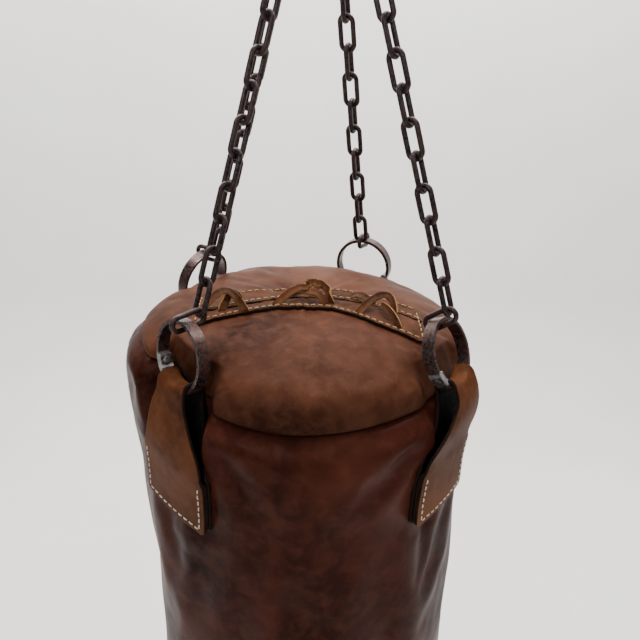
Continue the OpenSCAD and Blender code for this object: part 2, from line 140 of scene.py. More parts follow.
class Material:
    """A short way to write a node material on a principled shader, in object coordinates."""

    def __init__(self, name):
        self.made = bpy.data.materials.new(name)
        self.made.use_nodes = True
        self.tree = self.made.node_tree
        self.shader = self.tree.nodes["Principled BSDF"]
        self.place = self.tree.nodes.new("ShaderNodeTexCoord").outputs["Object"]
        self.height = None

    def link(self, a, b):
        if isinstance(a, (int, float)):
            b.default_value = a
        else:
            self.tree.links.new(a, b)

    def scaled(self, x, y, z):
        n = self.tree.nodes.new("ShaderNodeMapping")
        n.inputs["Scale"].default_value = (x, y, z)
        self.link(self.place, n.inputs["Vector"])
        return n.outputs["Vector"]

    def noise(self, scale, detail=4.0, rough=0.55, warp=0.0, at=None):
        n = self.tree.nodes.new("ShaderNodeTexNoise")
        n.inputs["Scale"].default_value = scale
        n.inputs["Detail"].default_value = detail
        n.inputs["Roughness"].default_value = rough
        n.inputs["Distortion"].default_value = warp
        self.link(at or self.place, n.inputs["Vector"])
        return n.outputs["Fac"]

    def cells(self, scale, feature="F1", at=None):
        n = self.tree.nodes.new("ShaderNodeTexVoronoi")
        n.feature = feature
        n.inputs["Scale"].default_value = scale
        self.link(at or self.place, n.inputs["Vector"])
        return n.outputs["Distance"]

    def ramp(self, fac, stops):
        n = self.tree.nodes.new("ShaderNodeValToRGB")
        e = n.color_ramp.elements
        while len(e) < len(stops):
            e.new(0.5)
        for slot, (at, value) in zip(e, stops):
            slot.position = at
            slot.color = (*value, 1.0) if isinstance(value, tuple) else (value, value, value, 1.0)
        self.link(fac, n.inputs["Fac"])
        return n.outputs["Color"]

    def mix(self, fac, a, b, mode="MIX"):
        n = self.tree.nodes.new("ShaderNodeMix")
        n.data_type = "RGBA"
        n.blend_type = mode
        self.link(fac, n.inputs["Factor"])
        for value, socket in ((a, n.inputs["A"]), (b, n.inputs["B"])):
            if isinstance(value, tuple):
                socket.default_value = (*value, 1.0)
            else:
                self.link(value, socket)
        return n.outputs["Result"]

    def math(self, mode, a, b=0.0, clamp=False):
        n = self.tree.nodes.new("ShaderNodeMath")
        n.operation = mode
        n.use_clamp = clamp
        self.link(a, n.inputs[0])
        self.link(b, n.inputs[1])
        return n.outputs[0]

    def wear(self, low=0.52, high=0.62):
        """0 in hollows and on flats, 1 on convex edges."""
        geo = self.tree.nodes.new("ShaderNodeNewGeometry")
        return self.ramp(geo.outputs["Pointiness"], [(low, 0.0), (high, 1.0)])

    def colour(self, c):
        self.link(c, self.shader.inputs["Base Color"])

    def roughness(self, r):
        self.link(r, self.shader.inputs["Roughness"])

    def set(self, **values):
        for name, value in values.items():
            self.link(value, self.shader.inputs[name.replace("_", " ")])

    def bump(self, height, distance_mm, strength=1.0):
        n = self.tree.nodes.new("ShaderNodeBump")
        n.inputs["Strength"].default_value = strength
        n.inputs["Distance"].default_value = distance_mm * MM
        self.link(height, n.inputs["Height"])
        if self.height is not None:
            self.link(self.height, n.inputs["Normal"])
        self.height = n.outputs["Normal"]
        self.link(self.height, self.shader.inputs["Normal"])

    def clear_from_behind(self):
        """A backdrop doesn't hide the object from a view that stands behind it."""
        geo = self.tree.nodes.new("ShaderNodeNewGeometry")
        clear = self.tree.nodes.new("ShaderNodeBsdfTransparent")
        either = self.tree.nodes.new("ShaderNodeMixShader")
        self.link(geo.outputs["Backfacing"], either.inputs[0])
        self.link(self.shader.outputs["BSDF"], either.inputs[1])
        self.link(clear.outputs["BSDF"], either.inputs[2])
        self.link(either.outputs["Shader"], self.tree.nodes["Material Output"].inputs["Surface"])

    def done(self):
        return self.made


def leather(name, deep, base, light, blotch, rough, sheen=0.0, grain=0.25, gloss=0.055, oil=0.62):
    """Oiled pull-up leather: cloudy colour, darker oil stains, pale scuffs, fine grain and pores."""
    m = Material(name)
    clouds = m.noise(blotch, 5.0, 0.5, 0.6)
    fine = m.noise(blotch * 9.0, 6.0, 0.6, 0.3)
    tone = m.ramp(clouds, [(0.30, deep), (0.52, base), (0.74, light)])
    stain = m.ramp(m.noise(blotch * 0.45, 3.0, 0.5, 1.2), [(0.38, oil), (0.58, 1.0)])
    tone = m.mix(1.0, tone, stain, "MULTIPLY")
    tone = m.mix(m.ramp(fine, [(0.42, 0.0), (0.66, 0.35)]), tone, light)
    scratch = m.cells(38.0, "DISTANCE_TO_EDGE", m.scaled(1.0, 1.0, 0.35))
    scuffs = m.math("MULTIPLY", m.ramp(scratch, [(0.0, 1.0), (0.012, 0.0)]),
                    m.ramp(m.noise(5.0, 2.0), [(0.56, 0.0), (0.72, 0.5)]))
    tone = m.mix(scuffs, tone, light)
    pores = m.cells(900.0)
    tone = m.mix(m.ramp(pores, [(0.0, 0.35), (0.25, 0.0)]), tone, deep)
    m.colour(tone)
    m.roughness(m.ramp(m.noise(blotch * 1.7, 4.0), [(0.3, rough[0]), (0.7, rough[1])]))
    m.bump(m.noise(260.0, 5.0, 0.6), 0.35, grain)
    m.bump(pores, 0.25, grain)
    m.bump(m.noise(34.0, 4.0, 0.5, 0.8), 1.6, 0.18)
    m.set(IOR=1.42, Specular_IOR_Level=gloss, Sheen_Weight=sheen, Sheen_Roughness=0.5)
    m.shader.inputs["Specular Tint"].default_value = (1.0, 0.80, 0.72, 1.0)
    m.shader.inputs["Sheen Tint"].default_value = (1.0, 0.72, 0.6, 1.0)
    return m.done()


def burnished_edge(name, dark, warm):
    """The cut edge of a hide, dyed and rubbed, with the fibres still showing; also the flesh side, whose
    near-black colour is painted shade.
    """
    m = Material(name)
    fibres = m.noise(420.0, 4.0, 0.65, 0.4)
    patches = m.noise(60.0, 3.0)
    hide = m.ramp(fibres, [(0.3, dark), (0.8, warm)])
    m.colour(m.mix(m.ramp(patches, [(0.45, 0.0), (0.75, 0.8)]), hide, warm))
    m.roughness(m.ramp(fibres, [(0.3, 0.45), (0.7, 0.8)]))
    m.set(Specular_IOR_Level=0.08)
    m.bump(fibres, 0.5, 0.5)
    return m.done()


def old_iron(name, dark, rust, bright, wear, rough, rust_share, metal, speck):
    """Blackened iron with rust in patches and rubbed bright edges."""
    m = Material(name)
    patches = m.noise(75.0, 6.0, 0.65, 0.5)
    fine = m.noise(380.0, 5.0, 0.7)
    rusty = m.ramp(patches, [(1.0 - rust_share - 0.08, 0.0), (1.0 - rust_share + 0.1, 1.0)])
    body = m.mix(m.ramp(fine, [(0.42, 0.0), (0.72, speck)]), dark, bright)
    fresh_rust = tuple(c * 1.9 for c in rust)
    tone = m.mix(m.math("MULTIPLY", rusty, 0.85), body, m.ramp(fine, [(0.3, rust), (0.8, fresh_rust)]))
    edge = m.math("MULTIPLY", m.wear(*wear), m.ramp(m.noise(120.0, 3.0), [(0.3, 0.2), (0.6, 1.0)]))
    m.colour(m.mix(edge, tone, bright))
    m.set(Metallic=m.math("SUBTRACT", metal, m.math("MULTIPLY", rusty, 0.55), True))
    m.roughness(m.mix(rusty, m.ramp(fine, [(0.3, rough[0]), (0.7, rough[0] + 0.15)]), (rough[1],) * 3))
    m.bump(patches, 0.5, 0.35)
    m.bump(fine, 0.15, 0.5)
    return m.done()


def waxed_thread(name, pale, dark):
    """Thick twisted thread: a fine slanting rope pattern, and grime in patches."""
    m = Material(name)
    twist = m.noise(1400.0, 2.0, 0.4, 0.0, m.scaled(1.0, 1.0, 0.5))
    grime = m.noise(55.0, 3.0)
    strands = m.ramp(twist, [(0.3, dark), (0.6, pale)])
    m.colour(m.mix(m.ramp(grime, [(0.45, 0.0), (0.7, 0.75)]), strands, dark))
    m.roughness(0.7)
    m.bump(twist, 0.25, 0.6)
    return m.done()


def make_materials():
    made = {}
    made["top"] = leather(
        "top_leather", deep=(0.027, 0.0078, 0.0036), base=(0.072, 0.0235, 0.0115),
        light=(0.128, 0.048, 0.0250), blotch=8.0, rough=(0.40, 0.58))
    made["side"] = leather(
        "side_leather", deep=(0.0200, 0.0045, 0.0030), base=(0.056, 0.0130, 0.0076),
        light=(0.112, 0.033, 0.0180), blotch=6.0, rough=(0.30, 0.46), grain=0.2, gloss=0.045, oil=0.42)
    made["strap"] = leather(
        "strap_leather", deep=(0.046, 0.0130, 0.0045), base=(0.098, 0.031, 0.0110),
        light=(0.155, 0.056, 0.021), blotch=11.0, rough=(0.45, 0.62))
    made["facing"] = leather(
        "facing_leather", deep=(0.030, 0.0090, 0.0036), base=(0.072, 0.0235, 0.0095),
        light=(0.120, 0.044, 0.019), blotch=18.0, rough=(0.45, 0.62), sheen=0.02)
    made["thong"] = leather(
        "thong_leather", deep=(0.024, 0.0080, 0.0036), base=(0.060, 0.0205, 0.0080),
        light=(0.110, 0.042, 0.017), blotch=30.0, rough=(0.38, 0.55), sheen=0.02)
    # The flesh side is near black: painted shade for the gaps behind the straps and the bag's inside, not
    # the hide's own colour.
    made["flesh"] = burnished_edge("flesh_side_painted_shade", (0.0022, 0.0016, 0.0014), (0.006, 0.004, 0.0035))
    made["edge"] = burnished_edge("burnished_edge", (0.0050, 0.0028, 0.0020), (0.026, 0.012, 0.007))
    made["thong_edge"] = burnished_edge("thong_edge", (0.11, 0.045, 0.014), (0.36, 0.19, 0.065))
    made["ring"] = old_iron(
        "ring_iron", dark=(0.030, 0.015, 0.011), rust=(0.045, 0.0090, 0.0040), bright=(0.36, 0.34, 0.33),
        wear=(0.66, 0.80), rough=(0.20, 0.42), rust_share=0.50, metal=0.75, speck=0.28)
    made["chain"] = old_iron(
        "chain_iron", dark=(0.020, 0.010, 0.008), rust=(0.026, 0.0075, 0.0045), bright=(0.15, 0.12, 0.12),
        wear=(0.56, 0.68), rough=(0.26, 0.52), rust_share=0.5, metal=0.8, speck=0.6)
    made["fitting"] = old_iron(
        "fitting_iron", dark=(0.030, 0.027, 0.027), rust=(0.05, 0.018, 0.010), bright=(0.30, 0.29, 0.28),
        wear=(0.60, 0.74), rough=(0.3, 0.6), rust_share=0.35, metal=0.85, speck=0.35)
    made["bright"] = old_iron(
        "bright_steel", dark=(0.16, 0.15, 0.145), rust=(0.07, 0.03, 0.016), bright=(0.42, 0.41, 0.40),
        wear=(0.60, 0.74), rough=(0.28, 0.55), rust_share=0.25, metal=0.9, speck=0.4)
    made["rivet"] = old_iron(
        "rivet_steel", dark=(0.085, 0.075, 0.070), rust=(0.05, 0.018, 0.010), bright=(0.34, 0.32, 0.30),
        wear=(0.60, 0.72), rough=(0.34, 0.6), rust_share=0.35, metal=0.8, speck=0.4)
    made["cream"] = waxed_thread("cream_thread", (0.80, 0.70, 0.55), (0.45, 0.34, 0.22))
    made["gold"] = waxed_thread("gold_thread", (0.42, 0.26, 0.09), (0.16, 0.08, 0.03))
    made["dark_thread"] = waxed_thread("dark_thread", (0.05, 0.025, 0.016), (0.02, 0.01, 0.007))
    made["canvas"] = waxed_thread("canvas", (0.10, 0.075, 0.05), (0.05, 0.037, 0.025))
    return made


# --- Making pieces --------------------------------------------------------------------------------

def new_piece(name, verts_mm, faces, materials, nodes=(), body="bag", smooth=True, face_slots=None):
    mesh = bpy.data.meshes.new(name)
    mesh.from_pydata([tuple(c * MM for c in v) for v in verts_mm], [], faces)
    for m in materials:
        mesh.materials.append(m)
    mesh.polygons.foreach_set("use_smooth", [smooth] * len(mesh.polygons))
    if face_slots is not None:
        mesh.polygons.foreach_set("material_index", face_slots)
    mesh.update()
    piece = bpy.data.objects.new(name, mesh)
    bpy.context.collection.objects.link(piece)
    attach(piece, body)
    if nodes:
        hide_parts(*nodes)
    return piece


def hide_slab(piece, thickness, offset, rounding=0.7):
    """Gives a sheet the hide's thickness. Its materials are face, flesh side, cut edge."""
    solid = piece.modifiers.new("thickness", "SOLIDIFY")
    solid.thickness = thickness * MM
    solid.offset = offset
    solid.use_even_offset = True
    solid.material_offset = 1
    solid.material_offset_rim = 2
    bevel = piece.modifiers.new("edges", "BEVEL")
    bevel.width = rounding * MM
    bevel.segments = 2
    bevel.limit_method = "ANGLE"
    bevel.angle_limit = math.radians(50)
    return piece


def grid_faces(rows, columns, closed=False):
    wide = columns if closed else columns - 1
    return [(i * columns + j, i * columns + (j + 1) % columns,
             (i + 1) * columns + (j + 1) % columns, (i + 1) * columns + j)
            for i in range(rows - 1) for j in range(wide)]


def wobble(x, y, z, seed=0.0):
    """Smooth noise from -1 to 1."""
    return noise.noise(Vector((x + seed * 7.13, y - seed * 3.7, z + seed * 1.9)))


def unit(v):
    return v / np.linalg.norm(v)


# --- Straps ---------------------------------------------------------------------------------------

GRIP = 7.0            # how far a strap's pad presses the wall in at its middle
FLATNESS = 1.8        # a pad's radius against the bag's
INNER_PLY = 0.3 + HIDE_T / 2 - GRIP
PATCH_PLY = INNER_PLY + HIDE_T + 0.1
OUTER_PLY = PATCH_PLY + HIDE_T + 0.1
LEG_SIDE = 10.2       # from the ring's plane to a ply's middle
FOLD_TOP = 5.8
SADDLE_R = 29.0
PAD_SKEW = dict(fr=-3.3, br=0.6, bl=-0.8, fl=3.4)
PAD_TILT = dict(fr=-2.5, br=1.0, bl=-1.5, fl=7.0)
ACROSS = 33


def at_fold(k, out, up):
    lean = math.radians(RING_LEAN[k])
    return np.array([FOLD_R + out * math.cos(lean) - up * math.sin(lean),
                     FOLD_Z + out * math.sin(lean) + up * math.cos(lean)])


def bezier(a, b, c, d, t):
    return a * (1 - t) ** 3 + 3 * b * t * (1 - t) ** 2 + 3 * c * t * t * (1 - t) + d * t ** 3


def smooth(t):
    t = min(1.0, max(0.0, t))
    return t * t * (3 - 2 * t)


def belt_half(z):
    """Half the belt's width: rounded foot, square pad, small shoulders, and a neck that draws in."""
    foot = z - PAD_BOTTOM
    if foot < 6:
        return PAD_HALF - 6 + math.sqrt(max(0.0, 36 - (6 - foot) ** 2))
    if z < PAD_TOP - 2:
        return PAD_HALF
    if z < PAD_TOP + 3:
        return PAD_HALF - 4 * smooth((z - PAD_TOP + 2) / 5)
    neck = NECK_HALF + 5.0 * smooth((FOLD_Z - 10 - z) / 20)
    return neck + (PAD_HALF - 4 - neck) * (1 - smooth((z - PAD_TOP - 3) / 62)) ** 1.2


def belt_stations(k):
    """(radius, height, half width, how far it wraps the bag, how far it follows the ring's curve)."""
    feet = [0.0, 0.5, 1.4, 2.8, 4.5, 6.5]
    levels = [PAD_BOTTOM + f for f in feet] + [PAD_BOTTOM + 12 + 6.2 * i for i in range(9)]

    def leg(off, side, push, bow):
        start = np.array([wall_r(SEAM_Z - PAD_TOP) + off, PAD_TOP])
        rows = [(wall_r(SEAM_Z - z) + off, z, belt_half(z), 1.0, 0.0) for z in levels if z < PAD_TOP - 1]
        for i in range(19):
            t = i / 18
            p = bezier(start, start + np.array(push), at_fold(k, side + bow, -28), at_fold(k, side, -6), t)
            lift = smooth((t - 0.25) / 0.75) ** 1.5
            rows.append((p[0], p[1], belt_half(p[1]), 1 - smooth(t * 1.1), lift))
        return rows

    outer = leg(OUTER_PLY, LEG_SIDE, (1, 26), 1)
    inner = leg(INNER_PLY, -LEG_SIDE, (1, 22), 0)
    fold = []
    for i in range(1, 16):
        a = math.pi * i / 16
        c = math.copysign(abs(math.cos(a)) ** (2 / 3), math.cos(a))
        p = at_fold(k, LEG_SIDE * c, -6 + (6 + FOLD_TOP) * math.sin(a) ** (2 / 3))
        fold.append((p[0], p[1], NECK_HALF - 1.5 * math.sin(a), 0.0, 1.0))
    return outer + fold + inner[::-1]


def belt_point(k, station, t, off=0.0):
    """A point of the belt's middle surface at t across it, or off outside it where it lies on the bag."""
    r, z, _, wrap, lift = station
    lean, tilt = math.radians(RING_LEAN[k]), math.radians(PAD_TILT[k]) * wrap
    around = (1 - lift) * t + lift * SADDLE_R * math.sin(t / SADDLE_R)
    up = lift * SADDLE_R * (1 - math.cos(t / SADDLE_R))
    bend = FLATNESS * r
    x = r + off - wrap * bend * (1 - math.cos(around / bend)) - up * math.sin(lean)
    y = (1 - wrap) * around + wrap * bend * math.sin(around / bend)
    z += up * math.cos(lean)
    middle = (PAD_TOP + PAD_BOTTOM) / 2
    y, z = y + math.sin(tilt) * (z - middle), z - math.sin(tilt) * y
    a = math.radians(STRAP_AZ[k] + PAD_SKEW[k] * smooth(wrap))
    return (x * math.cos(a) - y * math.sin(a) + wrap * body_shift(z), x * math.sin(a) + y * math.cos(a), z)


# --- The bag's body -------------------------------------------------------------------------------

COLUMNS = 216
POWER = 3.2
SEAM_NOTCH = 8.0
RIM_R = BAG_R + SHOULDER_OUT * math.exp(-(34 / 45) ** 2) - SEAM_IN


def wall_r(depth):
    return (BAG_R + SHOULDER_OUT * math.exp(-((depth - 34) / 45) ** 2)
            - SEAM_IN * (math.exp(-(depth / 10) ** 2) + math.exp(-((SIDE_H - depth) / 10) ** 2)))


def bag_rows():
    """(radius, height) from the top's centre to the base's centre, and the rows of the two seams."""
    rows = []
    for i in range(44):
        t = i / 44
        a = math.radians(90 * (1 - t) ** 1.25)
        r = RIM_R * math.cos(a) ** (2 / POWER)
        z = DOME_H * math.sin(a) ** (2 / POWER)
        bulge = 0.8 * math.exp(-((z - 13) / 11) ** 2) if r > RIM_R * 0.8 else 0.0
        rows.append((max(r + bulge, 1.5), SEAM_Z + z))
    top_seam = len(rows)
    rows.append((RIM_R - SEAM_NOTCH, SEAM_Z))
    depth, step = 3.0, 3.0
    while depth < SIDE_H - 3:
        rows.append((wall_r(depth), SEAM_Z - depth))
        step = min(step * 1.06, 9.0) if depth < SIDE_H - 60 else max(step * 0.8, 3.0)
        depth += step
    base_seam = len(rows)
    rows.append((RIM_R - SEAM_NOTCH, SEAM_Z - SIDE_H))
    for i in range(1, 26):
        a = math.radians(90 * (i / 25) ** 1.2)
        rows.append((max(RIM_R * math.cos(a) ** (2 / POWER), 1.5),
                     SEAM_Z - SIDE_H - BASE_H * math.sin(a) ** (2 / POWER)))
    return rows, top_seam, base_seam


def strap_dent(az, r, z):
    """How far the bag is drawn in behind the straps' loops at a point, in millimetres."""
    total = 0.0
    for k in CORNERS:
        d = (az - STRAP_AZ[k] + 180) % 360 - 180
        if abs(d) > 40:
            continue
        across = r * math.radians(d)
        inner = min(1.0, max(0.0, (56 - abs(across)) / 26))
        inner = inner * inner * (3 - 2 * inner)
        if z > PAD_TOP:
            room = hollow_limit(k, z)
            total = max(total, inner * max(0.0, r - room))
            skirt = math.exp(-(across / 70) ** 2) * math.exp(-((z - FOLD_Z + 25) / 42) ** 2)
            total = max(total, 5.0 * skirt)
    return total


def pad_dent(az, r, z):
    """How far the straps' pads press the wall in."""
    total = 0.0
    ease = smooth((z - PAD_BOTTOM + 34) / 34) * smooth((PAD_TOP + 26 - z) / 26)
    for k in CORNERS:
        pad = r * math.radians((az - STRAP_AZ[k] - PAD_SKEW[k] + 180) % 360 - 180)
        total = max(total, ease * (GRIP + 0.5) * math.exp(-(abs(pad) / 52) ** 3))
    return total


def body_shift(z):
    """The filled bag hangs a little to one side of its suspension, most of all at its shoulder."""
    return -3.0 - 5.5 * (1 - smooth((SEAM_Z - z - 60) / 260))


def seam_lift(az):
    """How far the top seam rises to the bag's left, in millimetres."""
    return 28.0 * math.exp(-(((az + 172 + 180) % 360 - 180) / 42) ** 2)


def seam_sag(az):
    """How far the top seam sags at the front."""
    return 6.0 * math.exp(-(((az + 96 + 180) % 360 - 180) / 26) ** 2)


def strap_room(az, r, z):
    """The radius a swollen point may keep without touching a strap."""
    for k in CORNERS:
        across = r * math.radians((az - STRAP_AZ[k] + 180) % 360 - 180)
        if abs(across) < 32 and z > PAD_TOP:
            r = min(r, hollow_limit(k, z))
    return r


def hollow_limit(k, z):
    """The largest radius that leaves room for the strap and its ring at a height above the pad."""
    heights, radii = HOLLOWS[k]
    if z >= heights[-1]:
        p = at_fold(k, -LEG_SIDE - HIDE_T / 2 - 1.2, 0)
        return p[0] - (z - p[1]) * math.tan(math.radians(RING_LEAN[k]))
    return float(np.interp(z, heights, radii))


def inner_leg(k):
    """Heights and radii of the inner ply's face towards the bag, from the pad's top up."""
    path = sorted((s[1], s[0] - HIDE_T / 2 - 0.8) for s in belt_stations(k)[-28:] if s[1] > PAD_TOP - 1)
    return [q[0] for q in path], [q[1] for q in path]


HOLLOWS = {k: inner_leg(k) for k in CORNERS}


def body_shape():
    rows, top_seam, base_seam = bag_rows()
    points = []
    for i, (r0, z0) in enumerate(rows):
        for j in range(COLUMNS):
            az = 360.0 * j / COLUMNS
            a = math.radians(az)
            r, z = r0, z0
            side = math.cos(a)
            lobes = wobble(2.1 * math.cos(a), 2.1 * math.sin(a), z0 / 150.0)
            small = wobble(5.0 * math.cos(a), 5.0 * math.sin(a), z0 / 60.0, 3.0)
            lift, sag = seam_lift(az), seam_sag(az)
            if top_seam <= i < base_seam:
                z += (lift - sag) * math.exp(-((SEAM_Z - z0) / 80) ** 2)
            if i == top_seam:
                z += 1.3 * wobble(16 * math.cos(a), 16 * math.sin(a), 0.5)
            if top_seam < i < base_seam:
                depth = SEAM_Z - z0
                near_top = math.exp(-(depth / 170) ** 2)
                ease = min(1.0, depth / 14.0) * min(1.0, (SIDE_H - depth) / 14.0)
                folds = wobble(3.4 * math.cos(a), 3.4 * math.sin(a), z0 / 420.0, 8.0)
                left_fullness = 5.0 * max(0.0, -side) ** 2
                creases = 0.9 * folds + near_top * (1.6 * folds + left_fullness)
                r += ease * (2.0 * lobes + 1.1 * small + creases)
                r -= pad_dent(az, r, z)
            elif i < top_seam:
                inward = r0 / RIM_R
                dome_z = z0 - SEAM_Z
                z += ((dome_z ** 3 + lift ** 3) ** (1 / 3) - dome_z) * min(1.0, inward / 0.8) ** 2
                z -= sag * (1 - dome_z / DOME_H) ** 2
                z += (1 - inward ** 4) * (2.2 * lobes + 1.6 * small)
                if inward < 0.99:
                    z += 5.0 * math.exp(-((inward - 0.86) / 0.14) ** 2) * (0.5 - 0.5 * side)
                z -= 2.0 * math.exp(-((inward - 0.80) / 0.2) ** 2) * max(0.0, -math.sin(a)) ** 2
            x, y = r * math.cos(a) + body_shift(z), r * math.sin(a)
            r = math.hypot(x, y)
            room = max(0.0, r - strap_dent(math.degrees(math.atan2(y, x)), r, z)) / r
            points.append((x * room, y * room, z))
    return points, rows, top_seam, base_seam


def inflate(points, rows, pinned, cap_mm):
    """Cloth simulation of the closed body: the filling's pressure swells the leather between its seams
    and straps. Returns the new points, none of them more than cap_mm away."""
    faces = grid_faces(len(rows), COLUMNS, True)
    faces.append(tuple(range(COLUMNS)))
    last = (len(rows) - 1) * COLUMNS
    faces.append(tuple(range(last + COLUMNS - 1, last - 1, -1)))
    mesh = bpy.data.meshes.new("inflate")
    mesh.from_pydata([tuple(c * MM for c in p) for p in points], [], [f[::-1] for f in faces])
    dummy = bpy.data.objects.new("inflate", mesh)
    bpy.context.collection.objects.link(dummy)
    group = dummy.vertex_groups.new(name="pinned")
    weights = np.round(pinned, 2)
    for weight in sorted(set(weights)):
        if weight > 0:
            group.add([int(n) for n in np.nonzero(weights == weight)[0]], float(weight), "REPLACE")
    cloth = dummy.modifiers.new("cloth", "CLOTH")
    s = cloth.settings
    s.quality = 4
    s.mass = 0.4
    s.tension_stiffness = s.compression_stiffness = 22
    s.shear_stiffness = 8
    s.bending_stiffness = 5.0
    s.use_pressure = True
    s.uniform_pressure_force = 3.2
    s.shrink_min = -0.006
    s.vertex_group_mass = "pinned"
    s.pin_stiffness = 2.0
    s.effector_weights.gravity = 0.0
    cloth.point_cache.frame_start = 1
    cloth.point_cache.frame_end = 16
    scene = bpy.context.scene
    for f in range(1, 17):
        scene.frame_set(f)
    posed = dummy.evaluated_get(bpy.context.evaluated_depsgraph_get()).to_mesh()
    out = np.zeros(len(posed.vertices) * 3)
    posed.vertices.foreach_get("co", out)
    out = out.reshape(-1, 3) / MM
    scene.frame_set(1)
    bpy.data.objects.remove(dummy)
    before = np.array(points)
    move = out - before
    far = np.linalg.norm(move, axis=1, keepdims=True)
    return before + move * np.minimum(1.0, cap_mm / np.maximum(far, 1e-9))


def make_body(mats):
    points, rows, top_seam, base_seam = body_shape()
    points = np.array(points)
    pinned = np.zeros(len(points))
    for i, (r0, z0) in enumerate(rows):
        for j in range(COLUMNS):
            n = i * COLUMNS + j
            if i in (top_seam, base_seam):
                pinned[n] = 1.0
            d = min(abs((360.0 * j / COLUMNS - STRAP_AZ[k] + 180) % 360 - 180) for k in CORNERS)
            if d < 16 and PAD_BOTTOM - 8 < z0 < FOLD_Z + 30:
                pinned[n] = max(pinned[n], 1.0 if d < 14.5 else 0.5)
    points = inflate(points, rows, pinned, 8.0)
    for n, (x, y, z) in enumerate(points):
        r = math.hypot(x, y)
        if r > 90 and z > PAD_BOTTOM - 20:
            room = strap_room(math.degrees(math.atan2(y, x)), r, z)
            points[n] *= (room / r, room / r, 1.0)
    count = len(rows)
    pieces = {}
    for name, node, first, last, mat, slot in (
            ("bag_top", "top_panel", 0, top_seam, "top", "top_leather"),
            ("bag_side", "side_panel", top_seam, base_seam, "side", "side_leather"),
            ("bag_base", "base_panel", base_seam, count - 1, "side", "side_leather")):
        part = [tuple(p) for p in points[first * COLUMNS:(last + 1) * COLUMNS]]
        faces = [f[::-1] for f in grid_faces(last - first + 1, COLUMNS, True)]
        if first == 0:
            faces.append(tuple(range(COLUMNS)))
        if last == count - 1:
            low = (last - first) * COLUMNS
            faces.append(tuple(range(low + COLUMNS - 1, low - 1, -1)))
        piece = new_piece(name, part, faces, [mats[mat], mats["flesh"], mats["edge"]], [node])
        solid = piece.modifiers.new("thickness", "SOLIDIFY")
        solid.thickness = HIDE_T * MM
        solid.offset = -1.0
        solid.material_offset = 1
        solid.material_offset_rim = 2
        pieces[name] = piece
    # The filling and its lining follow the leather from inside
    faces = [f[::-1] for f in grid_faces(count, COLUMNS, True)]
    faces.append(tuple(range(COLUMNS)))
    low = (count - 1) * COLUMNS
    faces.append(tuple(range(low + COLUMNS - 1, low - 1, -1)))
    middle = np.array([0.0, 0.0, SEAM_Z - SIDE_H / 2])
    for name, node, gap in (("bag_lining", "lining", 7.0), ("bag_filling", "filling", 10.0)):
        inner = points.copy()
        flat = np.linalg.norm(inner[:, :2], axis=1)
        level = np.repeat([row[1] for row in rows], COLUMNS)
        at_seam = sum(np.exp(-((level - z) / 16) ** 2) for z in (SEAM_Z, SEAM_Z - SIDE_H))
        inset = gap + 9 * at_seam * (flat > RIM_R * 0.8)
        inner[:, :2] *= np.maximum(0.02, 1 - inset / np.maximum(flat, inset + 1))[:, None]
        drop = np.abs(inner[:, 2] - middle[2])
        inner[:, 2] -= np.sign(inner[:, 2] - middle[2]) * np.minimum(gap, drop * 0.02)
        new_piece(name, [tuple(p) for p in inner], faces, [mats["canvas"]],
                  [node])
    return pieces


def make_straps(mats):
    for n, k in enumerate(CORNERS):
        verts = []
        rows = belt_stations(k)
        for i, s in enumerate(rows):
            for j in range(ACROSS):
                v = 2 * j / (ACROSS - 1) - 1
                t = s[2] * v
                ragged = 0.5 * abs(v) ** 8 * wobble(i * 0.31, v, n * 5.0)
                off = 0.5 * s[3] * wobble(s[1] / 26, t / 26, n * 9.0, 2.0)
                off += 0.9 * (1 - s[3]) * (1 - s[4]) * wobble(s[1] / 30, t / 22, n * 4.0, 5.0)
                verts.append(belt_point(k, s, t + math.copysign(ragged, v), off * 0.8))
        # The belt's back face takes the near-black flesh colour: painted shade in the gap between strap and
        # bag.
        strap = new_piece("belt_" + k, verts, grid_faces(len(rows), ACROSS),
                          [mats["strap"], mats["flesh"], mats["edge"]], ["strap_" + k])
        hide_slab(strap, HIDE_T, 0.0)
        verts = []
        count = 14
        for i in range(count):
            z = PAD_BOTTOM + 0.6 + (PAD_TOP - 1.5 - PAD_BOTTOM) * i / (count - 1)
            for j in range(ACROSS):
                v = 2 * j / (ACROSS - 1) - 1
                half = belt_half(max(z, PAD_BOTTOM + 0.6)) - 0.7
                ragged = 0.8 * abs(v) ** 8 * wobble(i * 0.9, v, n * 3.0, 4.0)
                station = (wall_r(SEAM_Z - z) + PATCH_PLY, z, half, 1.0, 0.0)
                verts.append(belt_point(k, station, half * v + math.copysign(ragged, v)))
        patch = new_piece("belt_patch_" + k, verts, [f[::-1] for f in grid_faces(count, ACROSS)],
                          [mats["edge"], mats["edge"], mats["edge"]], ["strap_patch_" + k])
        hide_slab(patch, HIDE_T - 0.1, 0.0)
        make_strap_stitches(k, mats)


# --- Stitches -------------------------------------------------------------------------------------

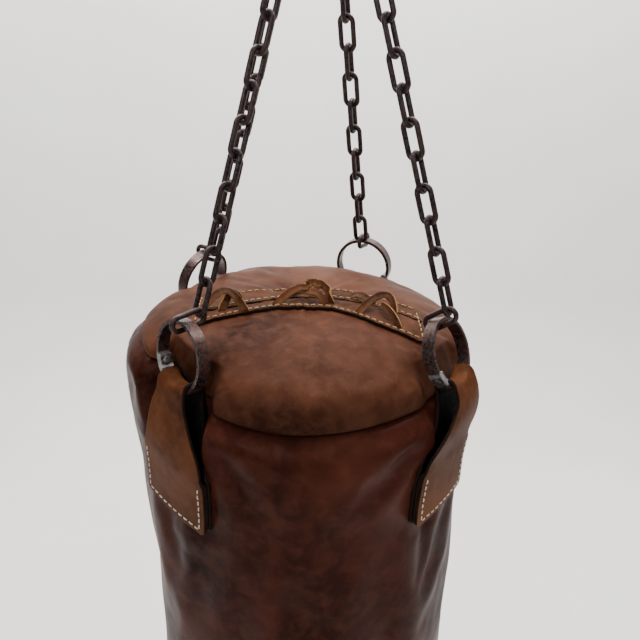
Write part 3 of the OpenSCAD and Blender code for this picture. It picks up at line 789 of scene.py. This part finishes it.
class Thread:
    """Collects single stitches, each a short bowed length of thread between two pricked holes, each hole a
    dark disc of painted shade.
    """

    def __init__(self, radius=0.8, rise=0.75):
        self.verts, self.faces, self.slots = [], [], []
        self.radius, self.rise = radius, rise

    def stitch(self, a, b, normal, seed=0.0):
        a, b, n = (np.array(v, float) for v in (a, b, normal))
        along = unit(b - a)
        side = unit(np.cross(n, along))
        n = np.cross(along, side)
        rings, ring = 7, 6
        first = len(self.verts)
        for i in range(rings):
            s = i / (rings - 1)
            rise = self.rise * (1.35 * (1 - abs(2 * s - 1) ** 3) - 0.75)
            r = self.radius * (0.72 + 0.28 * math.sin(math.pi * s))
            centre = a + (b - a) * s + n * rise + side * 0.35 * wobble(seed * 1.7, s, 0.5)
            for j in range(ring):
                q = 2 * math.pi * j / ring
                self.verts.append(centre + side * r * math.cos(q) + n * r * 0.8 * math.sin(q))
        self.faces += [tuple(first + m for m in f) for f in grid_faces(rings, ring, True)]
        self.slots += [0] * ((rings - 1) * ring)
        # Each pricked hole is a flat disc in the dark cut-edge colour: painted shade in the hole.
        for centre in (a - along * 0.2, b + along * 0.2):
            first = len(self.verts)
            for j in range(8):
                q = 2 * math.pi * j / 8
                self.verts.append(centre + n * 0.12 + 0.95 * (side * math.cos(q) + along * math.sin(q)))
            self.faces.append(tuple(range(first, first + 8)))
            self.slots.append(1)

    def piece(self, name, mats, thread, slot, nodes):
        return new_piece(name, self.verts, self.faces, [mats[thread], mats["edge"]], nodes,
                         face_slots=self.slots)


def make_strap_stitches(k, mats):
    inset, pitch, length = 6.0, 7.6, 6.2
    foot, half = PAD_BOTTOM + inset, PAD_HALF - inset
    off = OUTER_PLY + HIDE_T / 2
    thread = Thread()

    def surface(t, z, rise=0.0):
        return np.array(belt_point(k, (wall_r(SEAM_Z - z) + off, z, 0, 1.0, 0.0), t, rise))

    def sew(t0, z0, t1, z1, seed):
        mid_t, mid_z = (t0 + t1) / 2, (z0 + z1) / 2
        normal = surface(mid_t, mid_z, 1.0) - surface(mid_t, mid_z)
        thread.stitch(surface(t0, z0), surface(t1, z1), normal, seed)

    for side in (-1, 1):
        for i in range(7):
            z = foot + pitch * (i + 0.12)
            sew(side * half, z, side * half + 0.4 * math.sin(i * 2.3), z + length, i + side * 11)
    count = 10
    for i in range(count):
        t = -half + 2 * half * (i + 0.1) / count
        sew(t, foot + 0.3 * math.sin(i * 1.9), t + length, foot, i + 40)
    thread.piece("belt_stitches_" + k, mats, "cream", "thread", ["strap_stitches_" + k])


# --- The facing round the top's slit, and its lacing -------------------------------------------------

FACING_ENDS = (-120.0, 107.0)
SLIT_HALF = 1.4
FACING_UP = 2.1        # from the top leather to the facing's middle


def hump(x, foot, crest, middle, left, right):
    """A curve across the top that crests at middle and falls off on each side by (reach, power)."""
    reach, power = left if x < middle else right
    return foot + (crest - foot) * math.exp(-(abs(x - middle) / reach) ** power)


def front_edge(x):
    return hump(x, foot=-80, crest=-28, middle=-12, left=(92, 2.4), right=(70, 2.5))


def slit_line(x):
    return hump(x, foot=-60, crest=-4, middle=-1, left=(100, 2.0), right=(90, 2.0))


def back_edge(x):
    return hump(x, foot=-40, crest=26, middle=3, left=(195, 1.35), right=(96, 1.9))


class Dome:
    """Finds the top leather's surface from above."""

    def __init__(self, piece):
        graph = bpy.context.evaluated_depsgraph_get()
        self.tree = BVHTree.FromObject(piece, graph)

    def height(self, x, y):
        hit = self.tree.ray_cast(Vector((x, y, -100.0)) * MM, Vector((0, 0, -1)))
        return hit[0].z / MM

    def lifted(self, x, y, up):
        step = 4.0
        slope_x = (self.height(x + step, y) - self.height(x - step, y)) / (2 * step)
        slope_y = (self.height(x, y + step) - self.height(x, y - step)) / (2 * step)
        n = unit(np.array([-slope_x, -slope_y, 1.0]))
        return np.array([x, y, self.height(x, y)]) + n * up, n


def facing_strip(name, node, dome, mats, low, high, seed):
    """A strip of the facing between two curves, thick, with cut edges that wander a little."""
    columns, rows = 96, 12
    verts = []
    x0, x1 = FACING_ENDS
    for i in range(rows):
        v = i / (rows - 1)
        for j in range(columns):
            u = j / (columns - 1)
            x = x0 + (x1 - x0) * u
            a, b = low(x), high(x)
            end = 1 - 0.22 * (1 - smooth(u / 0.05)) - 0.10 * (1 - smooth((1 - u) / 0.03))
            y = (a + b) / 2 + (b - a) * (v - 0.5) * end
            edge = abs(2 * v - 1) ** 6
            y += edge * (1.1 * wobble(x / 9, v * 2, seed) + 0.5 * math.sin(x * 0.82))
            x += (abs(2 * u - 1) ** 30) * 1.2 * wobble(y / 7, 0, seed, 5.0)
            curl = 0.7 * edge * (0.5 + wobble(x / 16, v, seed, 3.0))
            up = FACING_UP + curl + 0.3 * wobble(x / 14, y / 14, seed)
            verts.append(dome.lifted(x, y, up)[0])
    strip = new_piece(name, verts, grid_faces(rows, columns), [mats["facing"], mats["edge"], mats["edge"]],
                      [node])
    return hide_slab(strip, HIDE_T, 0.0, 0.9)


def make_facing(dome, mats):
    facing_strip("facing_front_strip", "facing_front", dome, mats,
                 front_edge, lambda x: slit_line(x) - SLIT_HALF, 1.0)
    facing_strip("facing_back_strip", "facing_back", dome, mats,
                 lambda x: slit_line(x) + SLIT_HALF, back_edge, 2.0)
    thread = Thread(0.75, 0.7)
    rows = [lambda x: front_edge(x) + 4, lambda x: slit_line(x) + 6.5, lambda x: back_edge(x) - 4]
    top = FACING_UP + HIDE_T / 2 + 0.15
    for row, line in enumerate(rows):
        x = -114.0
        n = 0
        while x < 101:
            slope = (line(x + 1) - line(x - 1)) / 2
            step = 7.4 / math.hypot(1, slope)
            ends = [dome.lifted(q, line(q) + 0.3 * math.sin(n * 2.1), top) for q in (x, x + step * 0.8)]
            thread.stitch(ends[0][0], ends[1][0], ends[0][1], n + row * 50)
            x += step
            n += 1
    for x, lines in ((-116.0, (0, 2)), (103.0, (0, 2))):
        y, last = rows[lines[0]](x) + 3, rows[lines[1]](x) - 2
        while y < last - 5:
            ends = [dome.lifted(x, q, top) for q in (y, y + 5.8)]
            thread.stitch(ends[0][0], ends[1][0], ends[0][1], y)
            y += 7.4
    thread.piece("facing_stitching", mats, "gold", "thread", ["facing_stitches"])


# Each lacing thong's bands. A band's ends are an x and a share of the way from the facing's front edge to
# its back edge. It arches up, bows towards the back and leans to the right between the heights of its ends.
THONGS = {
    "left": [dict(start=(-112, 0.29), end=(-69, 0.0), arch=16, bow=19, lean=0, heights=(-2, -2)),
             dict(start=(-93, 0.22), end=(-76, 0.58), arch=11, bow=4, lean=0, heights=(-2, -2))],
    "middle": [dict(start=(-40, 0.12), end=(17, 0.27), arch=17, bow=14, lean=12, heights=(-2, -2)),
               dict(start=(-26, 0.65), end=(11, 0.13), arch=11, bow=-3, lean=3, heights=(-2, -2))],
    "right": [dict(start=(42, 0.08), end=(78, 0.36), arch=12, bow=20, lean=9, heights=(-2, 3)),
              dict(start=(66, 0.47), end=(80, 0.10), arch=5, bow=0, lean=0, heights=(3, -2)),
              dict(start=(38, 0.70), end=(60, 0.62), arch=6, bow=0, lean=0, heights=(-2, -2))],
}
THONG_W = 7.6
THONG_T = 2.4


def band_point(band, u):
    """(x, y, height above the facing) at u along a band."""
    x, share = (a + (b - a) * u for a, b in zip(band["start"], band["end"]))
    hill = math.sin(math.pi * u)
    low, high = band["heights"]
    y = front_edge(x) + share * (back_edge(x) - front_edge(x)) + band["bow"] * hill
    return x + band["lean"] * hill, y, low + (high - low) * u + band["arch"] * hill ** 0.8


def make_thongs(dome, mats):
    count, across = 36, 7
    base = FACING_UP + HIDE_T / 2 + THONG_T / 2
    for name, bands in THONGS.items():
        verts, faces = [], []
        for n, band in enumerate(bands):
            places = [band_point(band, i / (count - 1)) for i in range(count)]
            path = [dome.lifted(x, y, base + up)[0] for x, y, up in places]
            first = len(verts)
            for i, p in enumerate(path):
                along = unit(path[min(i + 1, count - 1)] - path[max(i - 1, 0)])
                side = unit(np.cross(np.array([0, 0, 1.0]), along))
                up = np.cross(along, side)
                roll = math.radians(34 + 14 * math.sin(i / (count - 1) * 2.2 + n * 2.4 + len(name)))
                side, up = (side * math.cos(roll) + up * math.sin(roll),
                            up * math.cos(roll) - side * math.sin(roll))
                for j in range(across):
                    v = 2 * j / (across - 1) - 1
                    half = THONG_W / 2 * (1 + 0.12 * wobble(i * 0.13, n, len(name)))
                    verts.append(p + side * v * half + up * (0.7 * v * v + 0.3 * wobble(i * 0.4, v, n)))
            faces += [tuple(first + m for m in f) for f in grid_faces(count, across)]
        thong = new_piece("lace_" + name, verts, [f[::-1] for f in faces],
                          [mats["thong"], mats["thong_edge"], mats["thong_edge"]],
                          ["thong_" + name])
        hide_slab(thong, THONG_T, 0.0, 0.5)
        thong.modifiers["thickness"].use_even_offset = False


# --- The seams' threads -----------------------------------------------------------------------------

def make_seam_stitches(side, mats):
    tree = BVHTree.FromObject(side, bpy.context.evaluated_depsgraph_get())

    def surface(az, z):
        a = math.radians(az)
        out = Vector((math.cos(a), math.sin(a), 0))
        hit = tree.ray_cast(Vector((0, 0, z * MM)) + out * 0.4, -out)
        return np.array(hit[0]) / MM, np.array(hit[1])

    thread = Thread(0.75, 0.7)
    count, step = 108, 8.0
    for i in range(count):
        top = SEAM_Z - 34 - i * step
        a, n = surface(105, top)
        b, _ = surface(105, top - 6.2)
        thread.stitch(a + n * 0.15, b + n * 0.15, n, i)
    thread.piece("side_stitching", mats, "gold", "thread", ["side_seam_stitches"])
    thread = Thread(0.75, 0.7)
    count = 144
    for i in range(count):
        az = 360 * i / count
        z = SEAM_Z - SIDE_H + 14
        a, n = surface(az, z)
        b, _ = surface(az + 360 / count * 0.78, z)
        thread.stitch(a + n * 0.15, b + n * 0.15, n, i)
    thread.piece("base_stitching", mats, "cream", "thread", ["base_seam_stitches"])


# --- CAD nodes that stay -------------------------------------------------------------------------------

def finish_nodes(mats):
    """Better materials and eased edges on the metal, which keeps its CAD shape."""
    finishes = {"chain_": "chain", "ring_link_": "chain", "ring_rivet_": "rivet", "ring_": "ring"}
    single = dict(swivel_eye="fitting", swivel_bow="fitting", master_link="fitting", thrust_washer="bright",
                  swivel_nut="bright", clevis_pin="bright", cotter="bright")
    for name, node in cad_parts.items():
        finish = single.get(name)
        if finish is None:
            finish = next((f for start, f in finishes.items() if name.startswith(start)), None)
        if finish is None:
            continue
        node.data.materials.clear()
        node.data.materials.append(mats[finish])
        if finish in ("ring", "fitting"):
            ease = node.modifiers.new("eased_edges", "BEVEL")
            ease.width = 0.6 * MM
            ease.segments = 2
            ease.limit_method = "ANGLE"
            ease.angle_limit = math.radians(40)


def main():
    make_camera()
    make_lights()
    make_floor()
    mats = make_materials()
    pieces = make_body(mats)
    make_straps(mats)
    dome = Dome(pieces["bag_top"])
    make_facing(dome, mats)
    make_thongs(dome, mats)
    make_seam_stitches(pieces["bag_side"], mats)
    finish_nodes(mats)


main()
